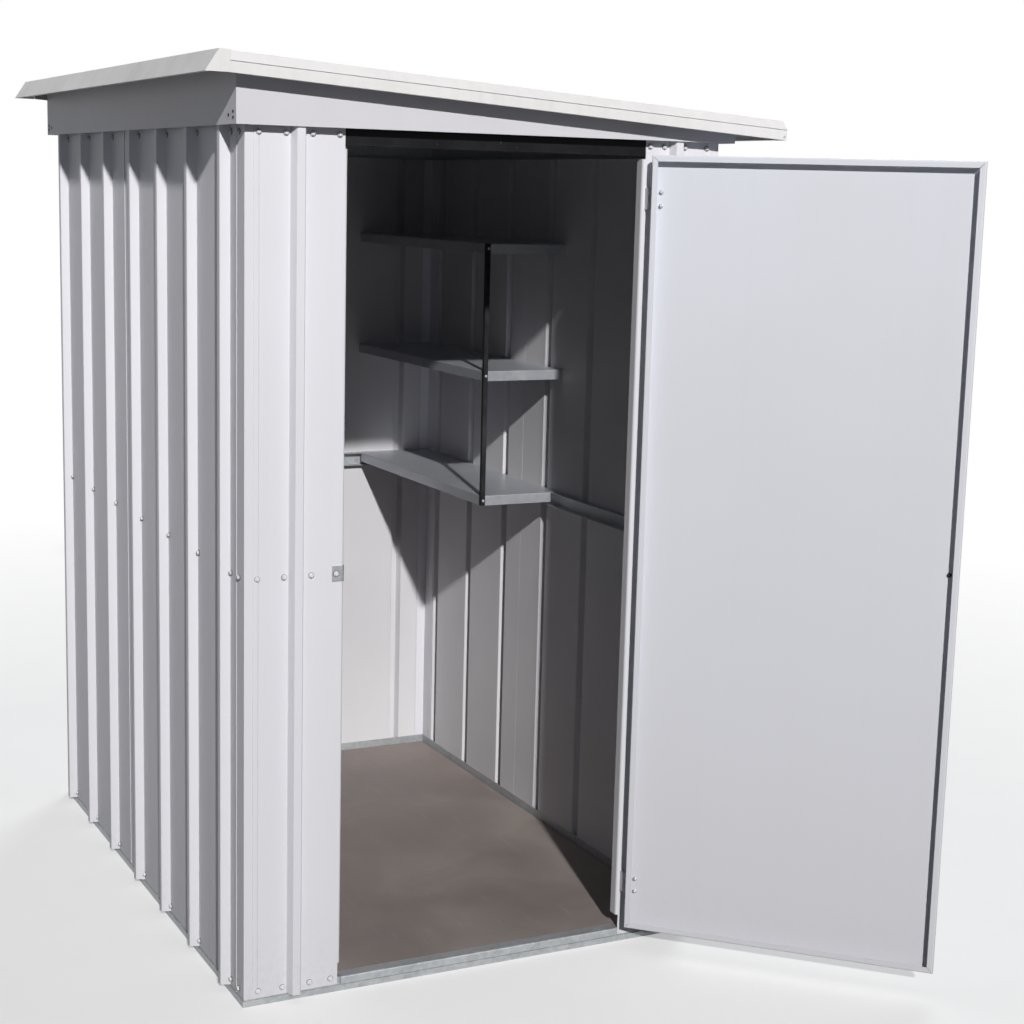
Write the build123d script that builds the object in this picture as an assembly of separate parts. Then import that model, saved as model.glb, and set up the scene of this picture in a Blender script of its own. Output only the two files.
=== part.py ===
from build123d import *
from math import atan, atan2, cos, pi, sin, tan
import os

os.makedirs("parts", exist_ok=True)

# The shed stands on the ground at Z = 0, with its doorway facing -Y and the origin at the middle
# of its footprint. Its single-pitch roof falls from the left wall to the right wall.
# All sizes are in millimetres. "Out" is measured outwards from the flats of the wall sheets.

# Overall sizes
wall_width = 1073.0
wall_depth = 1508.0
wall_top = 1815.0
roof_over_wall = 17.4
roof_fall = 70.6

# Sheet metal
sheet_t = 1.2
rail_t = 1.5
bend_r = 1.5
rib_depth = 20.0
rib_crown = 17.0
rib_web_run = 7.5
rib_pitch = 220.0
lap = 22.0
lap_clearance = 1.0

# Corner angles, and how far their edges show beside the sheets that lap over them
side_angle_edge = 45.0
side_angle_lap = 9.0
end_angle_edge = 18.0
end_angle_lap = 9.0

# Side walls: where the front sheet ends, and the flats between the corner laps and the first ribs
side_joint = 877.0
side_front_flat = 28.6
side_back_flat = 2.6

# Front panels on each side of the doorway
left_panel_w = 213.0
right_panel_w = 188.0
front_rib_in = 109.0
jamb_return = 25.0
jamb_r = 4.8
jamb_over_rail = 12.0
jamb_under_header = 6.0

# Base rail, floor and sill
base_lip_h = 13.0
base_lip_out = 3.0
base_upstand_h = 50.0
base_foot = 45.0
sheet_over_ledge = 2.0
sill_over_ledge = 1.0
sill_face_h = 17.0
sill_depth = 30.0
sill_end_gap = 1.0
floor_gap = 2.0

# Rails behind the sheets
rail_flange = 22.0
mid_rail_h = 36.0
mid_rail_z = 905.0
top_rail_h = 43.0
top_rail_down = 10.0
rail_jamb_gap = 2.0

# Fascia under the roof
fascia_over_rib = 5.0
fascia_lap = 20.0
fascia_flange = 45.0

# Roof overhangs beyond the walls
over_front = 70.0
over_back = 65.0
over_left = 100.0
over_right = 129.0

# Trims along the roof's edges
trim_t = 1.2
trim_drop = 19.0
trim_face_h = 22.0
trim_nose = 4.0
trim_slant_in = 20.0
trim_top_w = 24.0
trim_hem = 10.0
trim_joint = 0.3
high_trim_slant_in = 28.0
high_trim_drop = 22.0
high_trim_cap_w = 50.0
roof_edge_gap = 3.8
roof_end_gap = 4.0
roof_rib_gap = 3.5

# Door, as it hangs when closed in front of the wall
door_over_left = 11.0
door_over_right = 4.0
door_over_header = 2.5
door_over_sill = 15.0
door_gap = 8.0
door_tray = 20.0
door_lip = 13.0
door_mitre = 0.8
door_open_deg = 135.0

# Hinges
lower_hinge_up = 98.0
upper_hinge_down = 91.5
hinge_h = 46.0
knuckle_r = 3.5
knuckle_gap = 0.5
pin_r = 2.0
pin_clearance = 0.05
leaf_t = 1.5
leaf_foot = 22.0
leaf_on_door = 24.0
leaf_corner_r = 4.0

# Striker on the latch side of the doorway, and the folded pull on the door
striker_h = 32.0
striker_face_w = 28.0
striker_wrap = 20.0
striker_seat = 0.1
pull_w = 44.0
pull_h = 60.0
pull_t = 2.0
pull_out = 20.0
pull_edge_in = 14.0
pull_corner_r = 6.0

# Shelves on the right wall, from the one on the mid rail up to the top one
shelf_t = 1.2
shelf_width = 222.0
shelf_front = 680.0
shelf_lip = 25.0
shelf_names = ("lower", "middle", "top")
top_shelf_down = 262.0
post_arm = 11.0
post_t = 1.5

x_left = -wall_width / 2
x_right = wall_width / 2
y_front = -wall_depth / 2
y_back = wall_depth / 2
ledge_z = base_lip_h
sheet_bottom = ledge_z + sheet_over_ledge
sill_bottom = ledge_z + sill_over_ledge
sill_top = sill_bottom + sill_face_h
header_bottom = wall_top - top_rail_down - top_rail_h
fascia_out = rib_depth + fascia_over_rib
fascia_bottom = wall_top - fascia_lap
opening_left = x_left + left_panel_w
opening_right = x_right - right_panel_w
roof_low = wall_top + roof_over_wall
roof_slope = roof_fall / wall_width
rib_half = rib_crown / 2 + rib_web_run
step_run = 2 * sheet_t
fold_room = bend_r + sheet_t
shelf_low_top = mid_rail_z + mid_rail_h / 2 + shelf_t
shelf_high_top = wall_top - top_shelf_down
shelf_spacing = (shelf_high_top - shelf_low_top) / (len(shelf_names) - 1)
shelf_tops = [shelf_low_top + i * shelf_spacing for i in range(len(shelf_names))]
shelf_x = x_right - shelf_width
shelf_y = y_front + shelf_front

# The hinge axis stands just off the outer corner of the closed door
door_x0 = opening_left - door_over_left
door_x1 = opening_right + door_over_right
door_z0 = sill_top + door_over_sill
door_z1 = header_bottom + door_over_header
door_back = y_front - door_gap
door_skin = door_back - door_tray
axis_x = door_x1 + knuckle_r + knuckle_gap
axis_y = door_skin + knuckle_r + knuckle_gap

# Height of the trims' top over the roof sheets' underside, where they lie on the rib crowns, and
# the place of the sheets' edges behind the trims' upright faces
trim_crown = sheet_t + rib_depth + trim_t / cos(atan(roof_slope))
roof_edge_in = trim_nose + trim_t + roof_edge_gap


def roof_under(x):
    """Height of the roof sheets' underside at a place across the shed."""
    return roof_low + roof_slope * (x_right - x)


def headings(path):
    """Direction of each stretch of a folded line."""
    return [atan2(b[1] - a[1], b[0] - a[0]) for a, b in zip(path, path[1:])]


def folded_outline(path, t):
    """Sharp outline of a sheet folded along a path, with its thickness on the path's right."""
    ways = headings(path)
    ways = [ways[0]] + ways + [ways[-1]]
    inside = []
    for (u, w), way_in, way_out in zip(path, ways, ways[1:]):
        half = (way_out - way_in) / 2
        reach = t / cos(half)
        middle = way_in + half
        inside.append((u + reach * sin(middle), w - reach * cos(middle)))
    return path + inside[::-1]


def bent_side(path, fold_radii, place):
    """Edges along a folded line with an arc at each fold. Each fold has two radii, of which the
    first is used where the line turns left and the second where it turns right."""
    ways = headings(path)
    edges = []
    last = path[0]
    for (u, w), way_in, way_out, radii in zip(path[1:-1], ways, ways[1:], fold_radii):
        turn = (way_out - way_in + pi) % (2 * pi) - pi
        radius = radii[0] if turn > 0 else radii[1]
        if radius == 0:
            edges.append(Edge.make_line(place(*last), place(u, w)))
            last = (u, w)
            continue
        cut = radius * tan(abs(turn) / 2)
        before = (u - cut * cos(way_in), w - cut * sin(way_in))
        after = (u + cut * cos(way_out), w + cut * sin(way_out))
        towards = way_in + turn / 2 + (pi / 2 if turn > 0 else -pi / 2)
        sagitta = radius / cos(turn / 2) - radius
        middle = (u + sagitta * cos(towards), w + sagitta * sin(towards))
        edges.append(Edge.make_line(place(*last), place(*before)))
        edges.append(Edge.make_three_point_arc(place(*before), place(*middle), place(*after)))
        last = after
    edges.append(Edge.make_line(place(*last), place(*path[-1])))
    return edges


def bent_face(path, t, place, last_r=bend_r):
    """Cross-section of a sheet with rounded folds, with its thickness on the right of the path.
    The last fold can have an inner radius of its own."""
    radii = [bend_r] * (len(path) - 3) + [last_r]
    inside = folded_outline(path, t)[len(path):][::-1]
    edges = bent_side(path, [(r, r + t) for r in radii], place)
    edges += bent_side(inside, [(r + t, r) for r in radii], place)
    edges.append(Edge.make_line(place(*path[0]), place(*inside[0])))
    edges.append(Edge.make_line(place(*path[-1]), place(*inside[-1])))
    return Face(Wire(edges))


def bar_between(start, end):
    """Solid with a polygon at each end and a flat side along each pair of edges."""
    count = len(start)
    faces = [Face(Wire.make_polygon(start, close=True)), Face(Wire.make_polygon(end, close=True))]
    for i in range(count):
        j = (i + 1) % count
        side = [start[i], start[j], end[j], end[i]]
        faces.append(Face(Wire.make_polygon(side, close=True)))
    return Solid(Shell(faces))


def upright(points, bottom, top):
    """Plan outline carried straight up from bottom to top."""
    start = [(x, y, bottom) for x, y in points]
    end = [(x, y, top) for x, y in points]
    return bar_between(start, end)


def box_between(x0, x1, y0, y1, z0, z1):
    return upright([(x0, y0), (x1, y0), (x1, y1), (x0, y1)], z0, z1)


def on_side(side, along, out):
    """Plan point on a wall, from a place along the wall and a distance out of its face."""
    if side == "left":
        return (x_left - out, y_front + along)
    if side == "right":
        return (x_right + out, y_front + along)
    if side == "front":
        return (x_left + along, y_front - out)
    return (x_left + along, y_back + out)


def rib_places(first, last):
    """Rib centres from first towards last, one pitch apart."""
    step = rib_pitch if last > first else -rib_pitch
    count = int(abs(last - first) / rib_pitch) + 1
    return sorted(first + i * step for i in range(count))


def ribbed_path(start, end, ribs, lap_start=0.0, lap_end=0.0):
    """Folded line of a ribbed sheet, as (along, out), with stepped laps at its ends."""
    path = [(start, 0.0)]
    if lap_start:
        bend = start + lap_start + lap_clearance
        path = [(start, sheet_t), (bend, sheet_t), (bend + step_run, 0.0)]
    for centre in ribs:
        path.append((centre - rib_half, 0.0))
        path.append((centre - rib_crown / 2, rib_depth))
        path.append((centre + rib_crown / 2, rib_depth))
        path.append((centre + rib_half, 0.0))
    if lap_end:
        bend = end - lap_end - lap_clearance
        path.append((bend - step_run, 0.0))
        path.append((bend, sheet_t))
        path.append((end, sheet_t))
    else:
        path.append((end, 0.0))
    return path


def wall_sheet(side, path):
    """Ribbed sheet standing on one side of the shed."""

    def place(u, w):
        return (*on_side(side, u, w), sheet_bottom)

    return extrude(bent_face(path, sheet_t, place), wall_top - sheet_bottom, dir=(0, 0, 1))


def mitred_bar(side, section):
    """Bar along one whole wall, mitred at the corners. The section is (out, height) points, with
    a height that is a number or is worked out from the place across the shed."""
    ends = []
    length = wall_width if side in ("front", "back") else wall_depth
    for end_at, outward in ((0.0, -1), (length, 1)):
        points = []
        for out, height in section:
            x, y = on_side(side, end_at + outward * out, out)
            z = height(x) if callable(height) else height
            points.append((x, y, z))
        ends.append(points)
    return bar_between(ends[0], ends[1])


def channel_section(bottom, top):
    """Channel rail with its web on the sheets' inner face and its flanges pointing inwards."""
    web = -sheet_t
    path = [(web - rail_flange, bottom), (web, bottom), (web, top), (web - rail_flange, top)]
    return folded_outline(path[::-1], rail_t)


mid_rail_section = channel_section(mid_rail_z - mid_rail_h / 2, mid_rail_z + mid_rail_h / 2)
top_rail_section = channel_section(header_bottom, header_bottom + top_rail_h)


def base_rail(side):
    """Base rail: foot on the ground, low lip outside, ledge under the sheets, upstand behind them."""
    path = [(-base_foot, 0.0), (base_lip_out, 0.0), (base_lip_out, ledge_z)]
    path += [(-sheet_t, ledge_z), (-sheet_t, base_upstand_h)]
    return mitred_bar(side, folded_outline(path[::-1], rail_t))


def front_base_rail():
    """Front base rail, with its upstand cut down under the sill."""
    x0 = opening_left - jamb_r - sheet_t
    x1 = opening_right + jamb_r + sheet_t
    behind = y_front + sheet_t + rail_t + 1
    notch = box_between(x0, x1, y_front, behind, sill_top - rail_t, base_upstand_h + 1)
    return base_rail("front") - notch


def corner_angle(x_sign, y_sign):
    """Upright angle at one corner, behind the edges of the sheets that lap over it."""
    x = x_sign * wall_width / 2
    y = y_sign * wall_depth / 2
    end_arm = x_sign * (end_angle_edge + end_angle_lap)
    side_arm = y_sign * (side_angle_edge + side_angle_lap)

    def place(u, w):
        return (u, w, sheet_bottom)

    # The path keeps the sheet's thickness on its right, so it runs the other way at two corners
    path = [(x - end_arm, y), (x, y), (x, y - side_arm)]
    if x_sign * y_sign < 0:
        path = path[::-1]
    face = bent_face(path, sheet_t, place, 0)
    return extrude(face, wall_top - sheet_bottom, dir=(0, 0, 1))


def side_wall_sheets(side):
    """Front and back sheets of a side wall. The back one laps over the front one."""
    lap_end = side_angle_edge + side_angle_lap + lap_clearance + step_run
    joint_room = lap / 2 + lap_clearance + step_run + fold_room + rib_half
    first = lap_end + side_front_flat + rib_half
    last = wall_depth - lap_end - side_back_flat - rib_half
    front_ribs = rib_places(first, side_joint - joint_room)
    back_ribs = rib_places(last, side_joint + joint_room)
    front = ribbed_path(side_angle_edge, side_joint + lap / 2, front_ribs, side_angle_lap)
    back_end = wall_depth - side_angle_edge
    back = ribbed_path(side_joint - lap / 2, back_end, back_ribs, lap, side_angle_lap)
    return wall_sheet(side, front), wall_sheet(side, back)


def back_wall_sheet():
    """Back sheet, with its ribs spaced evenly about its middle."""
    lap_end = end_angle_edge + end_angle_lap + lap_clearance + step_run
    room = wall_width - 2 * (lap_end + fold_room + rib_half)
    count = int(room / rib_pitch) + 1
    first = wall_width / 2 - (count - 1) / 2 * rib_pitch
    ribs = [first + i * rib_pitch for i in range(count)]
    end = wall_width - end_angle_edge
    return wall_sheet("back", ribbed_path(end_angle_edge, end, ribs, end_angle_lap, end_angle_lap))


def front_panel(corner, width, direction):
    """Narrow ribbed panel from a corner to the doorway, with its edge folded back along the opening.
    The fold stops short of the rail below and the header above."""
    path = ribbed_path(end_angle_edge, width, [front_rib_in], end_angle_lap)
    path.append((width, -jamb_return))

    def place(u, w):
        return (corner + direction * u, y_front - w, sheet_bottom)

    face = bent_face(path, sheet_t, place, jamb_r)
    panel = extrude(face, wall_top - sheet_bottom, dir=(0, 0, 1))
    edge = corner + direction * width
    x0, x1 = sorted((edge - direction * (jamb_r + sheet_t), edge + direction))
    y0 = y_front - 1
    y1 = y_front + jamb_return + 1
    foot = box_between(x0, x1, y0, y1, sheet_bottom - 1, base_upstand_h + jamb_over_rail)
    head = box_between(x0, x1, y0, y1, header_bottom - jamb_under_header, wall_top + 1)
    return panel - foot - head


def short_mid_rail(corner, opening, direction):
    """Mid rail behind a narrow front panel, mitred at the corner of the shed."""
    stop = opening - direction * (jamb_r + sheet_t + rail_jamb_gap)
    start = [(corner - direction * out, y_front - out, z) for out, z in mid_rail_section]
    end = [(stop, y_front - out, z) for out, z in mid_rail_section]
    return bar_between(start, end)


def fascia(side):
    """Folded fascia: a lip on the rib crowns, an upright face and a flange under the roof."""
    top_in = fascia_out - fascia_flange
    inner = fascia_out - sheet_t

    def lowered(x):
        return roof_under(x) - sheet_t

    section = [
        (rib_depth, fascia_bottom),
        (fascia_out, fascia_bottom),
        (fascia_out, roof_under),
        (top_in, roof_under),
        (top_in, lowered),
        (inner, lowered),
        (inner, fascia_bottom + sheet_t),
        (rib_depth, fascia_bottom + sheet_t),
    ]
    return mitred_bar(side, section)


def roof_sheets():
    """Two ribbed sheets that run down the slope, the back one lapped over the front one."""
    x0 = x_left - over_left + high_trim_slant_in + roof_end_gap
    x1 = x_right + over_right - trim_slant_in - roof_end_gap
    start = y_front - over_front
    end = y_back + over_back
    rib_in = trim_slant_in + roof_rib_gap + rib_crown / 2
    spaces = round((end - start - 2 * rib_in) / rib_pitch)
    pitch = (end - start - 2 * rib_in) / spaces
    ribs = [start + rib_in + i * pitch for i in range(spaces + 1)]
    half = (spaces + 1) // 2
    joint = (ribs[half - 1] + ribs[half]) / 2
    front = ribbed_path(start + roof_edge_in, joint + lap / 2, ribs[:half])
    back = ribbed_path(joint - lap / 2, end - roof_edge_in, ribs[half:], lap)

    def place(y, out):
        return (x0, y, roof_under(x0) + sheet_t + out)

    run = Vector(x1 - x0, 0, roof_under(x1) - roof_under(x0))
    faces = [bent_face(path, sheet_t, place) for path in (front, back)]
    return [extrude(face, run.length, dir=run.normalized()) for face in faces]


# Section of a trim, as (inwards, up): a hem, an upright face, a nose that stands out over the
# face, a slant and a flat on the rib crowns
edge_trim_path = [
    (trim_nose + trim_hem, -trim_drop),
    (trim_nose, -trim_drop),
    (trim_nose, trim_face_h - trim_drop),
    (0.0, trim_face_h - trim_drop),
    (trim_slant_in, trim_crown),
    (trim_slant_in + trim_top_w, trim_crown),
]


def front_or_back_trim(y_edge, inward):
    """Trim along the front or back edge of the roof, falling with it, with its low end closed."""
    x0 = x_left - over_left + high_trim_cap_w + trim_joint
    x1 = x_right + over_right

    def section(x, outline):
        return [(x, y_edge + inward * d, roof_under(x) + h) for d, h in outline]

    outline = folded_outline(edge_trim_path, trim_t)
    end_plate = edge_trim_path[1:] + [(trim_slant_in + trim_top_w, -trim_drop)]
    trim = bar_between(section(x0, outline), section(x1, outline))
    return trim + bar_between(section(x1 - trim_t, end_plate), section(x1, end_plate))


def low_trim():
    """Trim along the low edge of the roof, between the front and back trims."""
    x_edge = x_right + over_right
    depth = trim_slant_in + trim_top_w + trim_joint
    y0 = y_front - over_front + depth
    y1 = y_back + over_back - depth
    points = []
    for d, h in folded_outline(edge_trim_path, trim_t):
        points.append((x_edge - d, roof_under(x_edge - d) + h))
    return bar_between([(x, y0, z) for x, z in points], [(x, y1, z) for x, z in points])


def high_trim():
    """Slanted drip trim along the high edge of the roof, with a cap folded over each end."""
    x_edge = x_left - over_left
    x_top = x_edge + high_trim_slant_in
    x_in = x_edge + high_trim_cap_w
    bottom = roof_under(x_edge) - high_trim_drop
    top = roof_under(x_top) + trim_crown
    top_in = roof_under(x_in) + trim_crown
    path = [(x_edge + trim_hem, bottom), (x_edge, bottom), (x_top, top), (x_in, top_in)]
    outline = folded_outline(path, trim_t)
    cap = path[1:] + [(x_in, roof_under(x_in) - trim_drop)]
    y0 = y_front - over_front
    y1 = y_back + over_back
    trim = bar_between([(x, y0, z) for x, z in outline], [(x, y1, z) for x, z in outline])
    for y in (y0, y1 - trim_t):
        start = [(x, y, z) for x, z in cap]
        end = [(x, y + trim_t, z) for x, z in cap]
        trim = trim + bar_between(start, end)
    return trim


def door_sill():
    """Folded sill over the base rail, between the two front panels."""
    x0 = opening_left + sill_end_gap
    x1 = opening_right - sill_end_gap
    path = [(base_lip_out - sill_depth, sill_top), (base_lip_out, sill_top), (base_lip_out, sill_bottom)]

    def place(out, z):
        return (x0, y_front - out, z)

    return extrude(bent_face(path, rail_t, place), x1 - x0, dir=(1, 0, 0))


def floor_panel():
    """Floor board on the ground, with a rebate round its underside for the base rails' feet."""
    edge = sheet_t + rail_t + floor_gap
    x0 = x_left + edge
    y0 = y_front + edge
    board = box_between(x0, -x0, y0, -y0, rail_t, sill_top - rail_t)
    x1 = x_left + base_foot + floor_gap
    y1 = y_front + base_foot + floor_gap
    return board + box_between(x1, -x1, y1, -y1, 0.0, rail_t)


def round_free_edges(block, r):
    """Round the top edges of a block on its -X and -Y sides, where a shelf stands free."""
    rim = block.faces().sort_by(Axis.Z)[-1].edges()
    return fillet([rim.sort_by(Axis.X)[0], rim.sort_by(Axis.Y)[0]], r)


def shelf(top, on_rail):
    """Shelf with its edges folded down, on the right wall and against the back wall.
    Where it lies on the mid rail, its lips stop short of the rail."""
    x1 = x_right - sheet_t
    y1 = y_back - sheet_t
    t = shelf_t
    bottom = top - shelf_lip
    tray = box_between(shelf_x, x1, shelf_y, y1, bottom, top)
    tray = round_free_edges(tray, bend_r + t)
    hollow = box_between(shelf_x + t, x1 - t, shelf_y + t, y1 - t, bottom - 1, top - t)
    tray = tray - round_free_edges(hollow, bend_r)
    if on_rail:
        x2 = x1 - rail_flange - rail_jamb_gap
        y2 = y1 - rail_flange - rail_jamb_gap
        tray = tray - box_between(x2, x1 + 1, shelf_y - 1, y1 + 1, bottom - 1, top - t)
        tray = tray - box_between(shelf_x - 1, x1 + 1, y2, y1 + 1, bottom - 1, top - t)
    return tray


def shelf_post():
    """Angle post that ties the front corners of the shelves together."""
    x = shelf_x - post_t
    y = shelf_y - post_t
    bottom = shelf_low_top - shelf_lip
    post_height = shelf_high_top - bottom
    path = [(x + post_arm, y), (x, y), (x, y + post_arm)]

    def place(u, w):
        return (u, w, bottom)

    return extrude(bent_face(path, post_t, place, 0), post_height, dir=(0, 0, 1))


def striker_bracket():
    """Strip of plate bent round the latch-side edge of the doorway."""
    t = rail_t
    edge = left_panel_w + striker_seat + t
    path = [(edge - striker_face_w, t), (edge, t), (edge, t - striker_wrap)]

    def place(u, w):
        return (x_left + u, y_front - w, mid_rail_z - striker_h / 2)

    return extrude(bent_face(path, t, place, jamb_r + sheet_t), striker_h, dir=(0, 0, 1))


def hung(shape):
    """Turn a piece of the closed door about the hinge axis, to the angle at which it stands open."""
    turned = Rot(0, 0, door_open_deg) * (Pos(-axis_x, -axis_y, 0) * shape)
    return Pos(axis_x, axis_y, 0) * turned


def door_sheet():
    """Door folded from one sheet: flat skin, four sides and a narrow lip turned in all round,
    with the lips mitred at the corners."""
    t = sheet_t
    body = box_between(door_x0, door_x1, door_skin, door_back, door_z0, door_z1)
    hollow = box_between(
        door_x0 + t, door_x1 - t, door_skin + t, door_back - t, door_z0 + t, door_z1 - t
    )
    for_bends = body.edges().filter_by(Axis.Y, reverse=True)
    body = fillet(for_bends, bend_r + t)
    inside_bends = hollow.edges().filter_by(Axis.Y, reverse=True)
    hollow = fillet(inside_bends, bend_r)
    lip = door_lip
    x0, x1 = door_x0 + lip, door_x1 - lip
    z0, z1 = door_z0 + lip, door_z1 - lip
    door = body - hollow - box_between(x0, x1, door_back - 2 * t, door_back + 1, z0, z1)
    slot = Box(2 * lip, 4 * t, door_mitre)
    for x, z, turn in ((x0, z0, -45), (x1, z0, 45), (x0, z1, 45), (x1, z1, -45)):
        door = door - Pos(x, door_back, z) * Rot(0, turn, 0) * slot
    return hung(door)


def tube(z0, z1, r):
    """Round bar on the hinge axis."""
    return Pos(axis_x, axis_y, z0) * Cylinder(r, z1 - z0, align=(Align.CENTER, Align.CENTER, Align.MIN))


def frame_leaf(z):
    """Hinge half on the wall: foot, web, two knuckles and the pin between them."""
    z0 = z - hinge_h / 2
    z1 = z + hinge_h / 2
    z2 = z0 + hinge_h / 3
    z3 = z1 - hinge_h / 3
    t = leaf_t
    x_web = axis_x - t / 2
    foot = box_between(x_web, x_web + leaf_foot, y_front - t, y_front, z0, z1)
    foot = fillet(foot.edges().filter_by(Axis.Y).group_by(Axis.X)[-1], leaf_corner_r)
    web = box_between(x_web, x_web + t, axis_y + pin_r, y_front, z0, z1)
    sweep_r = knuckle_r + knuckle_gap + 2 * t
    room = box_between(x_web - 1, x_web + t + 1, axis_y, axis_y + sweep_r, z2, z3)
    leaf = foot + web - room
    return leaf + tube(z0, z2, knuckle_r) + tube(z3, z1, knuckle_r) + tube(z0, z1, pin_r)


def door_leaf(z):
    """Hinge half on the door: a plate on the skin, with one knuckle on the pin."""
    z0 = z - hinge_h / 2
    z1 = z + hinge_h / 2
    z2 = z0 + hinge_h / 3 + knuckle_gap
    z3 = z1 - hinge_h / 3 - knuckle_gap
    t = leaf_t
    x_tab = axis_x - knuckle_r + knuckle_gap
    plate = box_between(door_x1 - leaf_on_door, x_tab + t, door_skin - t, door_skin, z0, z1)
    plate = fillet(plate.edges().filter_by(Axis.Y).group_by(Axis.X)[0], leaf_corner_r)
    tab = box_between(x_tab, x_tab + t, door_skin - t, axis_y, z2, z3)
    leaf = plate + tab + tube(z2, z3, knuckle_r)
    return hung(leaf - tube(z0, z1, pin_r + pin_clearance))


def door_pull():
    """Pull folded from plate, on the outside of the door and level with the striker."""
    x0 = door_x0 + pull_edge_in
    z0 = mid_rail_z - pull_h / 2
    z1 = mid_rail_z + pull_h / 2
    plate = box_between(x0, x0 + pull_w, door_skin - pull_t, door_skin, z0, z1)
    plate = fillet(plate.edges().filter_by(Axis.Y).group_by(Axis.X)[-1], pull_corner_r)
    grip = box_between(x0, x0 + pull_t, door_skin - pull_out, door_skin, z0, z1)
    grip = fillet(grip.edges().filter_by(Axis.X).group_by(Axis.Y)[0], pull_corner_r)
    return hung(plate + grip)


parts = {}

for side in ("left", "right", "back"):
    parts[f"base_rail_{side}"] = base_rail(side)
    parts[f"mid_rail_{side}"] = mitred_bar(side, mid_rail_section)
    parts[f"top_rail_{side}"] = mitred_bar(side, top_rail_section)
parts["base_rail_front"] = front_base_rail()
parts["door_header"] = mitred_bar("front", top_rail_section)
parts["mid_rail_front_left"] = short_mid_rail(x_left, opening_left, 1)
parts["mid_rail_front_right"] = short_mid_rail(x_right, opening_right, -1)

for name, x_sign, y_sign in (
    ("front_left", -1, -1),
    ("front_right", 1, -1),
    ("back_left", -1, 1),
    ("back_right", 1, 1),
):
    parts[f"corner_angle_{name}"] = corner_angle(x_sign, y_sign)

for side in ("left", "right"):
    front_sheet, back_sheet = side_wall_sheets(side)
    parts[f"{side}_wall_front_sheet"] = front_sheet
    parts[f"{side}_wall_back_sheet"] = back_sheet
parts["back_wall_sheet"] = back_wall_sheet()
parts["front_panel_left"] = front_panel(x_left, left_panel_w, 1)
parts["front_panel_right"] = front_panel(x_right, right_panel_w, -1)

for side in ("left", "right", "front", "back"):
    parts[f"{side}_fascia"] = fascia(side)

parts["roof_sheet_front"], parts["roof_sheet_back"] = roof_sheets()
parts["roof_trim_front"] = front_or_back_trim(y_front - over_front, 1)
parts["roof_trim_back"] = front_or_back_trim(y_back + over_back, -1)
parts["roof_trim_low"] = low_trim()
parts["roof_trim_high"] = high_trim()

parts["door_sill"] = door_sill()
parts["floor_panel"] = floor_panel()
for name, top in zip(shelf_names, shelf_tops):
    parts[f"shelf_{name}"] = shelf(top, top == shelf_low_top)
parts["shelf_post"] = shelf_post()
parts["striker_bracket"] = striker_bracket()

parts["door"] = door_sheet()
parts["door_pull"] = door_pull()
for name, z in (("lower", door_z0 + lower_hinge_up), ("upper", door_z1 - upper_hinge_down)):
    parts[f"{name}_hinge_frame_leaf"] = frame_leaf(z)
    parts[f"{name}_hinge_door_leaf"] = door_leaf(z)

for name, shape in parts.items():
    export_step(shape, f"parts/{name}.step")

print(len(parts), "pieces; the hinge axis is at", round(axis_x, 2), round(axis_y, 2))
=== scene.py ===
# %% [markdown]
# # A small ribbed-steel garden shed
# The solids of this shed were drawn in CAD, in metres, and they are loaded here as a fixed frame.
# Blender adds what CAD leaves plain: the coatings of the sheets, the screws and rivets that hold
# them together, the light and the camera. No piece of the frame is moved or reshaped. Three trims
# of the roof give way to copies with a finer fold.

# %% Load the shed's solids
import bpy
from math import cos, radians, sin
from mathutils import Matrix, Vector


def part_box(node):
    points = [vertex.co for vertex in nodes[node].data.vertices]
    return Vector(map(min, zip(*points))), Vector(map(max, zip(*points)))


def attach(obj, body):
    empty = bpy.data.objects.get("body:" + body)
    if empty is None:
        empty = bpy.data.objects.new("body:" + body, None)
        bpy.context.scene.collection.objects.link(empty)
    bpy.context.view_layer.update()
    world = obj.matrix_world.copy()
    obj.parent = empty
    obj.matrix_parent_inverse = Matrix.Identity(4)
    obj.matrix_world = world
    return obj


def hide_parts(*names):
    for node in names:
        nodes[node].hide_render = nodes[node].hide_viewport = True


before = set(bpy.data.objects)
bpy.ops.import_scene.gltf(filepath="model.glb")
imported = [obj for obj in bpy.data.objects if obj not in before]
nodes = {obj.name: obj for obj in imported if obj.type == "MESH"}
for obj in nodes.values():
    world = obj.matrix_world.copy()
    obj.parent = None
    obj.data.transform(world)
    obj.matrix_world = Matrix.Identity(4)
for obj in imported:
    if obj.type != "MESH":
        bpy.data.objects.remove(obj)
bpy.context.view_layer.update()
bpy.ops.object.select_all(action="DESELECT")

# %% [markdown]
# ## Camera
# The camera stands in front of the shed and to its left, a little below the roof, and looks down
# slightly, so that both the doorway and the ribbed side wall show. A lens of about 66 mm keeps the
# upright lines nearly parallel. The three angles are turned into the camera's own axes, because
# that says plainly which way is forward, right and up.

# %% Set up the camera
view_place = Vector((-1.7068, -4.2406, 1.6872))
view_yaw = radians(-26.8413)
view_pitch = radians(-9.8225)
view_roll = radians(1.4761)
lens_millimetres, film_millimetres = 65.64, 36

forward = Vector((
    -sin(view_yaw) * cos(view_pitch),
    cos(view_yaw) * cos(view_pitch),
    sin(view_pitch),
))
level_right = Vector((cos(view_yaw), sin(view_yaw), 0))
level_up = level_right.cross(forward)
right = level_right * cos(view_roll) + level_up * sin(view_roll)
up = level_up * cos(view_roll) - level_right * sin(view_roll)

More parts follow.
